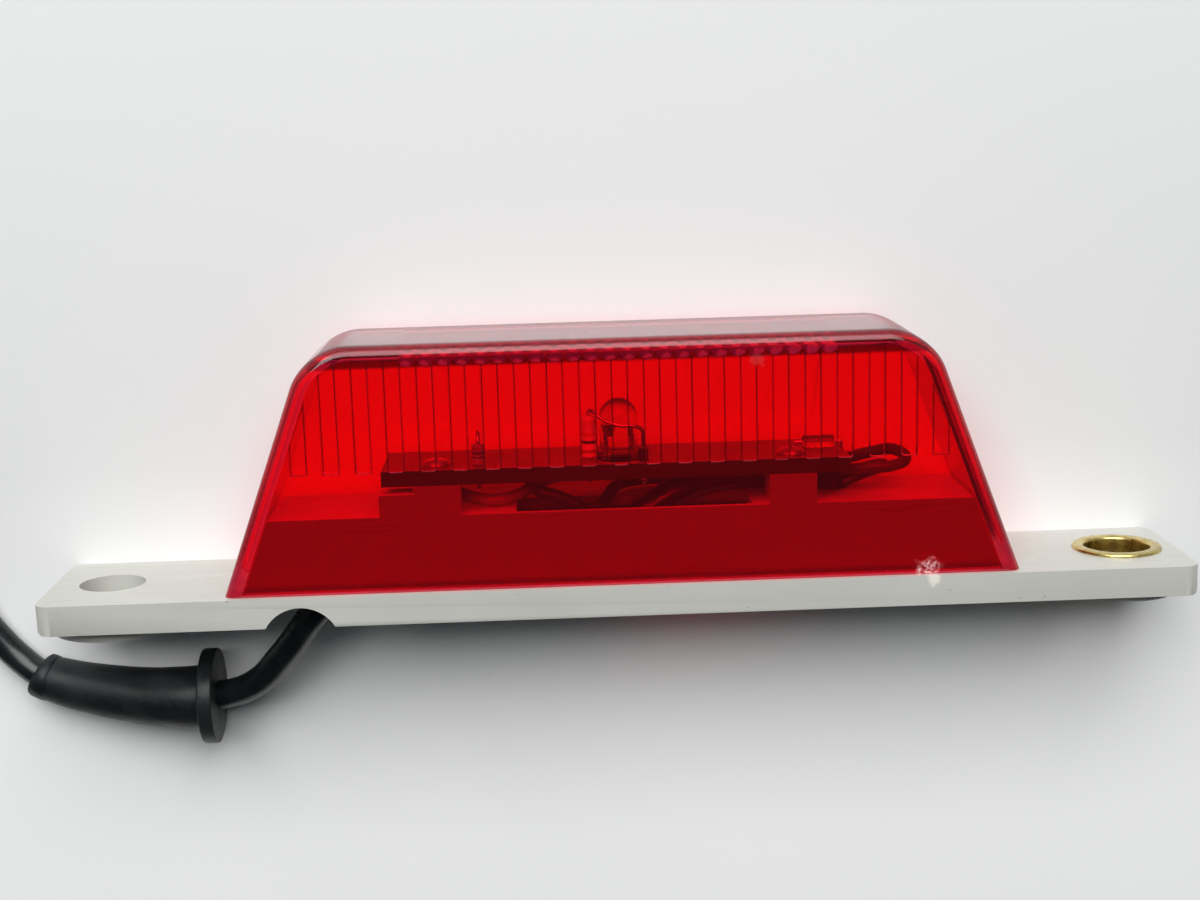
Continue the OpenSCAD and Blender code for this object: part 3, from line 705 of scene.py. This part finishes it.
def softened(name, cad_name, edge_mm, sharp=30, rounds=2):
    shape = bmesh.new()
    source = bpy.data.objects[cad_name]
    shape.from_mesh(source.data)
    shape.transform(source.matrix_world)
    bmesh.ops.remove_doubles(shape, verts=shape.verts, dist=0.000002)
    bmesh.ops.dissolve_limit(shape, angle_limit=math.radians(1), verts=shape.verts,
                             edges=shape.edges)
    piece = mesh_piece(name, shape)
    smooth_by_angle(piece, sharp)
    if edge_mm:
        rounding = piece.modifiers.new("edge_rounding", "BEVEL")
        rounding.width = edge_mm * MM
        rounding.segments = rounds
        rounding.limit_method = "ANGLE"
        rounding.angle_limit = math.radians(sharp)
        rounding.harden_normals = True
    print(name, "from", cad_name + ":", len(piece.data.polygons), "faces")
    return piece


# %% Housing and the small stamped or moulded pieces
white_housing = softened("white_housing", "base_housing", 0.22)
put(white_housing, ["base_housing"], ivory)
board_plate = softened("board_plate", "circuit_board", 0.06)
put(board_plate, ["circuit_board"], laminate)
cross_screws = softened("cross_screws", "board_screws", 0.05)
put(cross_screws, ["board_screws"], steel)
bent_legs = softened("bent_legs", "diode_leads", 0)
put(bent_legs, ["diode_leads"], tinned)
hairpin_leads = softened("hairpin_leads", "short_resistor_leads", 0)
put(hairpin_leads, ["short_resistor_leads"], tinned)
foot_sleeve = softened("foot_sleeve", "lead_sleeve", 0.05)
put(foot_sleeve, ["lead_sleeve"], sleeve)
solder_cones = softened("solder_cones", "solder_joints", 0.03, 50)
put(solder_cones, ["solder_joints"], solder)

# %% [markdown]
# ## Lens
# The lens is one moulding: a hollow box with leaning ends and rounded crown corners.  Its outside
# starts as four points, becomes a solid by extrusion, and bevels round its crown corners and long
# edges.  The inside is made the same way, 2 mm smaller.  Its ribs are strips of the inner front
# face, cut with planes and pushed inwards, and its flutes are half-round waves across the inner
# crown.  A flat rim at the foot joins the inside to the outside.  The volume is printed, because a
# clear piece whose inner wall is turned round bends light like a solid block.  Its straight walls
# are shaded flat for the same reason: smooth shading would tilt them at their edges.

# %% A leaning box with rounded crown corners


def leaning_box(half, low, high, back, front, crown):
    shape = bmesh.new()
    corners = [(-1, low), (1, low), (1, high), (-1, high)]
    outline = []
    for side, y in corners:
        x = LENS_X + side * (half - LEAN * (y - LENS_FOOT))
        outline.append(shape.verts.new(at(x, y, back)))
    sheet_face = shape.faces.new(outline)
    pulled = bmesh.ops.extrude_face_region(shape, geom=[sheet_face])
    moved = [v for v in pulled["geom"] if isinstance(v, bmesh.types.BMVert)]
    bmesh.ops.translate(shape, verts=moved, vec=(0, 0, (front - back) * MM))
    bmesh.ops.recalc_face_normals(shape, faces=shape.faces)
    top_y = at(0, high, 0).y
    crown_edges = [e for e in shape.edges
                   if all(abs(v.co.y - top_y) < 1e-6 for v in e.verts)
                   and abs(e.verts[0].co.z - e.verts[1].co.z) > 1e-4]
    reach = crown * math.tan(math.radians((90 - LEAN_DEGREES) / 2))
    bmesh.ops.bevel(shape, geom=crown_edges, offset=reach * MM, offset_type="OFFSET",
                    segments=20, profile=0.5, affect="EDGES", material=-1)
    return shape


def on_plane(face_or_edge, axis, value):
    return all(abs(v.co[axis] - value) < 2e-6 for v in face_or_edge.verts)


CROWN_R, INNER_CROWN_R = 8, 6
EDGE_R = 1.5
outside = leaning_box(LENS_L / 2, LENS_FOOT, LENS_TOP, LENS_Z0, LENS_Z1, CROWN_R)
print("outside before edge rounding:", len(outside.faces), "faces")

# %% Round the long edges and open the foot
foot_y = at(0, LENS_FOOT, 0).y
rims = [e for e in outside.edges
        if (on_plane(e, 2, LENS_Z0 * MM) or on_plane(e, 2, LENS_Z1 * MM))
        and not on_plane(e, 1, foot_y)]
bmesh.ops.bevel(outside, geom=rims, offset=EDGE_R * MM, offset_type="OFFSET", segments=8,
                profile=0.5, affect="EDGES", material=-1)
foot_faces = [f for f in outside.faces if on_plane(f, 1, foot_y)]
bmesh.ops.delete(outside, geom=foot_faces, context="FACES_ONLY")
print("outside:", len(outside.faces), "faces")

# %% The inside, with its flutes
inside = leaning_box(LENS_L / 2 - END_T, LENS_FOOT, LENS_TOP - LENS_T, LENS_Z0 + LENS_T,
                     LENS_Z1 - LENS_T, INNER_CROWN_R)
foot_faces = [f for f in inside.faces if on_plane(f, 1, foot_y)]
bmesh.ops.delete(inside, geom=foot_faces, context="FACES_ONLY")
FLUTES, FLUTE_PITCH, FLUTE_DEPTH = 24, 2.31, 0.85
crown_y = at(0, LENS_TOP - LENS_T, 0).y
CUTS = 8
first_x = LENS_X - FLUTES / 2 * FLUTE_PITCH
for k in range(FLUTES * CUTS + 1):
    crown = [f for f in inside.faces if on_plane(f, 1, crown_y)]
    around = {g for f in crown for g in (f, *f.edges, *f.verts)}
    bmesh.ops.bisect_plane(inside, geom=list(around), dist=1e-7,
                           plane_co=at(first_x + k * FLUTE_PITCH / CUTS, 0, 0),
                           plane_no=(1, 0, 0))
for vert in inside.verts:
    along = (vert.co.x / MM - first_x) / FLUTE_PITCH
    if abs(vert.co.y - crown_y) < 1e-7 and -0.001 < along < FLUTES + 0.001:
        across = 2 * (along - math.floor(along + 1e-4)) - 1
        vert.co.y -= FLUTE_DEPTH * MM * math.sqrt(max(0, 1 - across * across))
print("inside with", FLUTES, "flutes:", len(inside.faces), "faces")

# %% Ribs behind the wide face
MIDDLE_RIB = RIBS // 2
RIB_CORNER = 0.4
RIB_SOFT = 0.16
front_z = (LENS_Z1 - LENS_T) * MM
front = [f for f in inside.faces if on_plane(f, 2, front_z)]
bmesh.ops.inset_region(inside, faces=front, thickness=0.12 * MM, use_even_offset=True,
                       use_boundary=True)
front = [f for f in front if f.is_valid]
planes = [((LENS_X + (k - MIDDLE_RIB) * RIB_PITCH + side * RIB_W / 2, 0, 0), (1, 0, 0))
          for k in range(RIBS) for side in (-1, 1)]
planes.append(((0, RIB_FOOT, 0), (0, 1, 0)))
for point, way in planes:
    around = {g for f in front for g in (f, *f.edges, *f.verts)}
    cut = bmesh.ops.bisect_plane(inside, geom=list(around), dist=1e-7, plane_co=at(*point),
                                 plane_no=way)
    front = [g for g in cut["geom"] if isinstance(g, bmesh.types.BMFace)]
print("front face cut into", len(front), "strips")

# %% Push the ribs out and round their lower ends
strips = []
for face in front:
    middle = face.calc_center_bounds()
    nearest = round((middle.x / MM - LENS_X) / RIB_PITCH)
    off_rib = abs(middle.x / MM - LENS_X - nearest * RIB_PITCH)
    above_foot = middle.y > at(0, RIB_FOOT, 0).y
    if off_rib < RIB_W / 2 and abs(nearest) <= MIDDLE_RIB and above_foot:
        strips.append(face)
pushed = bmesh.ops.extrude_face_region(inside, geom=strips)
moved = [g for g in pushed["geom"] if isinstance(g, bmesh.types.BMVert)]
bmesh.ops.translate(inside, verts=moved, vec=(0, 0, -RIB_T * MM))
bmesh.ops.delete(inside, geom=[f for f in strips if f.is_valid], context="FACES")
foot_line = at(0, RIB_FOOT, 0).y
lower_corners = [e for e in inside.edges
                 if all(abs(v.co.y - foot_line) < 1e-6 for v in e.verts)
                 and abs(abs(e.verts[0].co.z - e.verts[1].co.z) - RIB_T * MM) < 1e-6]
bmesh.ops.bevel(inside, geom=lower_corners, offset=RIB_CORNER * MM, offset_type="OFFSET",
                segments=4, profile=0.5, affect="EDGES", material=-1)
print("ribs:", len(strips), "rounded corners:", len(lower_corners))

# %% Soften the ribs' edges
rib_top_z = front_z - RIB_T * MM
rib_edges = [e for e in inside.edges
             if on_plane(e, 2, rib_top_z)
             and any(not on_plane(f, 2, rib_top_z) for f in e.link_faces)]
bmesh.ops.bevel(inside, geom=rib_edges, offset=RIB_SOFT * MM, offset_type="OFFSET", segments=3,
                profile=0.5, affect="EDGES", material=-1)
print("softened", len(rib_edges), "rib edges")

# %% Join the inside to the outside
inner_mesh = bpy.data.meshes.new("lens_inside")
inside.to_mesh(inner_mesh)
inside.free()
outside.from_mesh(inner_mesh)
bpy.data.meshes.remove(inner_mesh)
open_edges = [e for e in outside.edges if e.is_boundary]
bmesh.ops.triangle_fill(outside, edges=open_edges, use_beauty=True, use_dissolve=False)
bmesh.ops.remove_doubles(outside, verts=outside.verts, dist=1e-6)
bmesh.ops.recalc_face_normals(outside, faces=outside.faces)
print("still open:", len([e for e in outside.edges if e.is_boundary]), "edges")
print("plastic in the lens:", round(outside.calc_volume(signed=True) * 1e9), "cubic mm")
red_lens = mesh_piece("red_lens", outside)
smooth_by_angle(red_lens, 32)
tilt = math.radians(LEAN_DEGREES)
flat_ways = [Vector(way) for way in (
    (0, 0, 1), (0, 1, 0), (1, 0, 0),
    (math.cos(tilt), math.sin(tilt), 0), (math.cos(tilt), -math.sin(tilt), 0))]
for face in red_lens.data.polygons:
    face.use_smooth = all(abs(face.normal.dot(way)) < 0.99999 for way in flat_ways)
put(red_lens, ["lens"], red)
print("lens:", len(red_lens.data.polygons), "faces")

# %% [markdown]
# ## Turned pieces
# The eyelet, the resistors, the diode lamp and the small diode are all round.  Each is a profile
# of a few points, spun once around its axis.  The first and last ring meet, so the spin merges
# them, and the normals are worked out again afterwards.

# %% Spin a profile about a line along Y or X


def turned(name, profile, centre, axis="Y", steps_round=48, closed=False):
    shape = bmesh.new()
    ring = [shape.verts.new((r * MM, h * MM, 0)) for r, h in profile]
    pairs = list(zip(ring, ring[1:]))
    if closed:
        pairs.append((ring[-1], ring[0]))
    edges = [shape.edges.new(pair) for pair in pairs]
    bmesh.ops.spin(shape, geom=ring + edges, cent=(0, 0, 0), axis=(0, 1, 0),
                   angle=math.tau, steps=steps_round, use_merge=True)
    bmesh.ops.remove_doubles(shape, verts=shape.verts, dist=1e-6)
    if axis == "X":
        bmesh.ops.rotate(shape, verts=shape.verts, cent=(0, 0, 0),
                         matrix=Matrix.Rotation(-math.pi / 2, 3, "Z"))
    bmesh.ops.translate(shape, verts=shape.verts, vec=at(*centre))
    piece = mesh_piece(name, shape)
    smooth_by_angle(piece, 35)
    return piece


def arc(cx, cy, radius, start, end, count):
    angles = [math.radians(start + (end - start) * i / count) for i in range(count + 1)]
    return [(cx + radius * math.cos(a), cy + radius * math.sin(a)) for a in angles]


print("spin helper ready")

# %% Rolled brass eyelet
HOLE_X, HOLE_R, MID_Z = 67, 4.3, 11
BASE_H, FOOT_DROP, EYELET_T, FLANGE = 3.9, 1.9, 0.5, 1.55
rolled = arc(HOLE_R + 0.45, BASE_H + 0.05, 0.45, 180, 95, 6)
rolled += arc(HOLE_R + FLANGE - 0.42, BASE_H + 0.08, 0.42, 80, 0, 6)
rolled += [(HOLE_R + FLANGE, BASE_H + 0.01), (HOLE_R + EYELET_T, BASE_H + 0.01)]
rolled += [(HOLE_R + EYELET_T, -FOOT_DROP + EYELET_T), (HOLE_R + FLANGE, -FOOT_DROP + EYELET_T)]
rolled += arc(HOLE_R + FLANGE - 0.25, -FOOT_DROP + 0.25, 0.25, 60, -80, 6)
rolled += arc(HOLE_R + 0.35, -FOOT_DROP + 0.35, 0.35, 265, 180, 6)
brass_ring = turned("brass_ring", rolled, (HOLE_X, 0, MID_Z), steps_round=96, closed=True)
put(brass_ring, ["brass_eyelet"], brass)
print("eyelet:", len(brass_ring.data.polygons), "faces")

# %% Diode lamp: clear dome, and the frame inside it
LED_X, LED_Z, LED_R, LED_H = 0.3, 14.5, 2.45, 7.9
dome = [(0, 0), (LED_R + 0.4, 0), (LED_R + 0.4, 0.85), (LED_R + 0.25, 1), (LED_R, 1)]
dome += [(LED_R, LED_H - LED_R - 0.5)]
dome += arc(0, LED_H - LED_R, LED_R, 0, 90, 12)
lamp_dome = turned("lamp_dome", dome, (LED_X, BOARD_TOP, LED_Z))
put(lamp_dome, ["led_body"], epoxy)


def round_bar(shape, x, z, low, high, radius, top_radius=None):
    made = bmesh.ops.create_cone(shape, cap_ends=True, segments=16, radius1=radius * MM,
                                 radius2=(top_radius or radius) * MM, depth=(high - low) * MM)
    bmesh.ops.rotate(shape, verts=made["verts"], cent=(0, 0, 0),
                     matrix=Matrix.Rotation(-math.pi / 2, 3, "X"))
    bmesh.ops.translate(shape, verts=made["verts"], vec=at(x, (low + high) / 2, z))


posts = bmesh.new()
for side in (-1, 1):
    round_bar(posts, LED_X + side * 1.27, LED_Z, 17.3, BOARD_TOP + 3.2, 0.25)
round_bar(posts, LED_X - 0.95, LED_Z, BOARD_TOP + 3.0, BOARD_TOP + 4.5, 0.45, 0.75)
round_bar(posts, LED_X + 1.1, LED_Z, BOARD_TOP + 3.0, BOARD_TOP + 4.2, 0.35, 0.3)
lamp_posts = mesh_piece("lamp_posts", posts)
smooth_by_angle(lamp_posts, 35)
put(lamp_posts, ["led_leads"], tinned)
print("diode lamp: dome", len(lamp_dome.data.polygons), "faces")

# %% Resistors: waisted bodies with rounded ends
tall_profile = [(0, 0), (0.7, 0.02)] + arc(0.78, 0.24, 0.22, -60, 0, 4)
tall_profile += [(1.0, 1.05), (0.9, 1.35), (0.9, 4.05), (1.0, 4.35)]
tall_profile += arc(0.78, 5.16, 0.22, 0, 60, 4) + [(0.7, 5.38), (0, 5.4)]
tall_body = turned("tall_body", tall_profile, (-3.6, BOARD_TOP + 0.4, 15.2), steps_round=32)
put(tall_body, ["tall_resistor"], tan)
short_profile = [(0, 0), (0.56, 0.02)] + arc(0.62, 0.22, 0.2, -60, 0, 4)
short_profile += [(0.82, 0.75), (0.74, 1.0), (0.74, 1.7), (0.82, 1.95)]
short_profile += arc(0.62, 2.48, 0.2, 0, 60, 4) + [(0.56, 2.68), (0, 2.7)]
short_body = turned("short_body", short_profile, (-17.8, BOARD_TOP + 0.2, 16.9), steps_round=32)
put(short_body, ["short_resistor"], blue)
print("resistors:", len(tall_body.data.polygons), "and", len(short_body.data.polygons), "faces")

# %% The tall resistor's long lead, bent across the front of the lamp
lead_run = [
    (-3.6, 25.1, 15.2), (-3.6, 25.6, 15.2), (-3.2, 25.8, 15.8), (-1.6, 24.7, 17),
    (0.4, 24.1, 17.6), (2.4, 23.9, 17.6), (3.2, 23.4, 17.4), (3.3, 22.4, 17.2),
    (3.3, 17.3, 17.2),
]
crossing_lead = run_curve("crossing_lead", lead_run, 0.25, 3)
put(crossing_lead, ["tall_resistor_leads"], tinned)
stub = bmesh.new()
round_bar(stub, -3.6, 15.2, 17.3, BOARD_TOP + 0.45, 0.25)
stub_lead = mesh_piece("stub_lead", stub)
smooth_by_angle(stub_lead, 35)
put(stub_lead, [], tinned)
print("long lead:", round(crossing_lead.data.splines[0].calc_length() * 1000, 1), "mm")

# %% Small glass diode
GLASS_HALF, GLASS_R = 2.1, 0.85
capsule = [(0, -GLASS_HALF)] + arc(0.55, -GLASS_HALF + 0.3, 0.3, -90, 0, 4)
capsule += arc(0.55, GLASS_HALF - 0.3, 0.3, 0, 90, 4) + [(0, GLASS_HALF)]
capsule = [(min(r, GLASS_R), h) for r, h in capsule]
orange_diode = turned("orange_diode", capsule, (26.5, BOARD_TOP + GLASS_R, 12.1), "X", 32)
put(orange_diode, ["glass_diode"], amber)
print("glass diode:", len(orange_diode.data.polygons), "faces")

# %% [markdown]
# ## Strain relief
# The rubber strain relief is moulded straight and bends with the cable.  It is made the same way:
# a profile with its flange, shoulder and tapered sleeve is spun around a straight line, and then
# every ring is carried to its place on the cable's curve.  Only the flange stays square to x.

# %% The cable's line inside the strain relief
relief_line = [Vector(at(*p)) for p in loose_run[2:10]]


def on_line(points, travel):
    for first, second in zip(points, points[1:]):
        step = (second - first).length
        if travel <= step:
            return first + (second - first) * (travel / step), (second - first).normalized()
        travel -= step
    way = (points[-1] - points[-2]).normalized()
    return points[-1] + way * travel, way


def smooth_line(points, per_step=12):
    out = []
    for i in range(len(points) - 1):
        a, b = points[max(0, i - 1)], points[i]
        c, d = points[i + 1], points[min(len(points) - 1, i + 2)]
        for k in range(per_step):
            t = k / per_step
            out.append(0.5 * ((2 * b) + (c - a) * t + (2 * a - 5 * b + 4 * c - d) * t * t
                              + (3 * b - a - 3 * c + d) * t ** 3))
    out.append(points[-1])
    return out


relief_path = smooth_line(relief_line)
start_travel = (relief_line[1] - relief_line[0]).length
print("path inside the strain relief has", len(relief_path), "points")

# %% Spin the profile, then bend it
RELIEF_L = 23.7
FLANGE_BACK = 1.9                              # from the flange's face to the profile's zero
SQUARE_FOR = 2.1                               # stays square to x as far as this
FLANGE_X, FLANGE_Y, FLANGE_Z = -54.9, -13.55, 6.45
BORE = CABLE_R + 0.04
sleeve_profile = [(BORE, -FLANGE_BACK), (6.2, -FLANGE_BACK)] + arc(6.2, -1.65, 0.25, -90, 0, 3)
sleeve_profile += arc(6.2, -0.15, 0.25, 0, 90, 3) + [(4.6, 0.1), (4.42, 0.35)]
sleeve_profile += [(4.35 - 1.2 * i / 24, 0.6 + (RELIEF_L - 2.6) * i / 24) for i in range(25)]
sleeve_profile += [(3.2, RELIEF_L - 1.95), (3.25, RELIEF_L - 1.4), (3.2, RELIEF_L - 0.4)]
sleeve_profile += [(3.02, RELIEF_L - 0.1), (2.6, RELIEF_L), (2.45, RELIEF_L - 0.3)]
sleeve_profile += [(BORE, RELIEF_L - 0.5)]
relief = bmesh.new()
ring = [relief.verts.new((r * MM, 0, h * MM)) for r, h in sleeve_profile]
edges = [relief.edges.new(pair) for pair in zip(ring, ring[1:] + ring[:1])]
bmesh.ops.spin(relief, geom=ring + edges, cent=(0, 0, 0), axis=(0, 0, 1), angle=math.tau,
               steps=56, use_merge=True)
bmesh.ops.remove_doubles(relief, verts=relief.verts, dist=1e-6)
for vert in relief.verts:
    from_flange = vert.co.z / MM + FLANGE_BACK
    middle, way = on_line(relief_path, start_travel + (from_flange + 0.3) * MM)
    if from_flange < SQUARE_FOR:
        middle = at(FLANGE_X - from_flange, FLANGE_Y, FLANGE_Z)
        way = Vector((-1, 0, 0))
    up = (Vector((0, 0, 1)) - way * way.z).normalized()
    side = way.cross(up)
    wobble = 1 + 0.012 * noise(vert.co * 300)
    vert.co = middle + (side * vert.co.x + up * vert.co.y) * wobble
rubber_relief = mesh_piece("rubber_relief", relief)
smooth_by_angle(rubber_relief, 40)
put(rubber_relief, ["strain_relief"], rubber)
print("strain relief:", len(rubber_relief.data.polygons), "faces")

# %% [markdown]
# ## Tie and connector
# The coil is held by a black nylon tie with a small head, and the cable ends in a two-way
# connector with a ribbed rubber boot.  They lie outside the camera's view, beside the coil.  A
# band that is pulled tight has the outline of a string around what it holds, so the tie is the
# convex hull of three short cylinders, one on each turn, opened at its ends and given a wall.

# %% Tie pulled tight around the three turns
TIE_W, TIE_T = 3, 0.75
tie = bmesh.new()
for x, y, z in [coil_point(TIE_ANGLE + full) for full in (0, 360, 720)]:
    made = bmesh.ops.create_cone(tie, cap_ends=True, segments=40, radius1=(CABLE_R + 0.02) * MM,
                                 radius2=(CABLE_R + 0.02) * MM, depth=TIE_W * MM)
    bmesh.ops.rotate(tie, verts=made["verts"], cent=(0, 0, 0),
                     matrix=Matrix.Rotation(math.pi / 2, 3, "X"))
    bmesh.ops.translate(tie, verts=made["verts"],
                        vec=(math.hypot(x - COIL_X, y - COIL_Y) * MM, 0, z * MM))
bmesh.ops.delete(tie, geom=tie.faces[:], context="FACES_ONLY")
wrapped = bmesh.ops.convex_hull(tie, input=tie.verts[:], use_existing_faces=False)
inner = [g for g in wrapped["geom_interior"] if isinstance(g, bmesh.types.BMVert)]
bmesh.ops.delete(tie, geom=inner, context="VERTS")
tie.normal_update()
ends = [f for f in tie.faces if abs(f.normal.y) > 0.9]
bmesh.ops.delete(tie, geom=ends, context="FACES_ONLY")
loose = [e for e in tie.edges if not e.link_faces]
bmesh.ops.delete(tie, geom=loose, context="EDGES")
bmesh.ops.recalc_face_normals(tie, faces=tie.faces)
bmesh.ops.solidify(tie, geom=tie.faces[:], thickness=-TIE_T * MM)
print("band reaches", [round(max(v.co[k] for v in tie.verts) * 1000, 2) for k in range(3)], "mm")

# %% The tie's small locking head, on the outer slope
head = bmesh.ops.create_cube(tie, size=MM)
bmesh.ops.scale(tie, verts=head["verts"], vec=(2, 4, 3.6))
head_edges = list({e for v in head["verts"] for e in v.link_edges})
rounded = bmesh.ops.bevel(tie, geom=head_edges, offset=0.3 * MM, offset_type="OFFSET",
                          segments=2, profile=0.5, affect="EDGES", material=-1)
head_verts = list({v for f in rounded["faces"] for v in f.verts})
bmesh.ops.rotate(tie, verts=head_verts, cent=(0, 0, 0),
                 matrix=Matrix.Rotation(math.radians(-29), 3, "Y"))
bmesh.ops.translate(tie, verts=head_verts, vec=(25.5 * MM, 0, 6.2 * MM))
bmesh.ops.rotate(tie, verts=tie.verts, cent=(0, 0, 0),
                 matrix=Matrix.Rotation(math.radians(TIE_ANGLE), 3, "Z"))
bmesh.ops.translate(tie, verts=tie.verts, vec=at(COIL_X, COIL_Y, 0))
tie_band = mesh_piece("tie_band", tie)
smooth_by_angle(tie_band, 35)
put(tie_band, ["coil_tie"], nylon)
print("tie:", len(tie_band.data.polygons), "faces")

# %% Connector, boot and terminals
plug_shell = softened("plug_shell", "connector_housing", 0.25)
put(plug_shell, ["connector_housing"], shell)
plug_boot = softened("plug_boot", "connector_boot", 0.12)
put(plug_boot, ["connector_boot"], boot)
plug_pins = softened("plug_pins", "connector_terminals", 0.2)
put(plug_pins, ["connector_terminals"], contact)

# %% [markdown]
# ## Put the cables in
# The free cable stands for the CAD model's outer cable, coil and short end.

# %% Cables and cores
put(supply_cord, ["supply_cable", "cable_coil", "cable_tail"], sheath)
put(sheath_inside, [], sheath)
put(brown_wire, ["brown_core"], brown)
put(black_wire, ["black_core"], black)
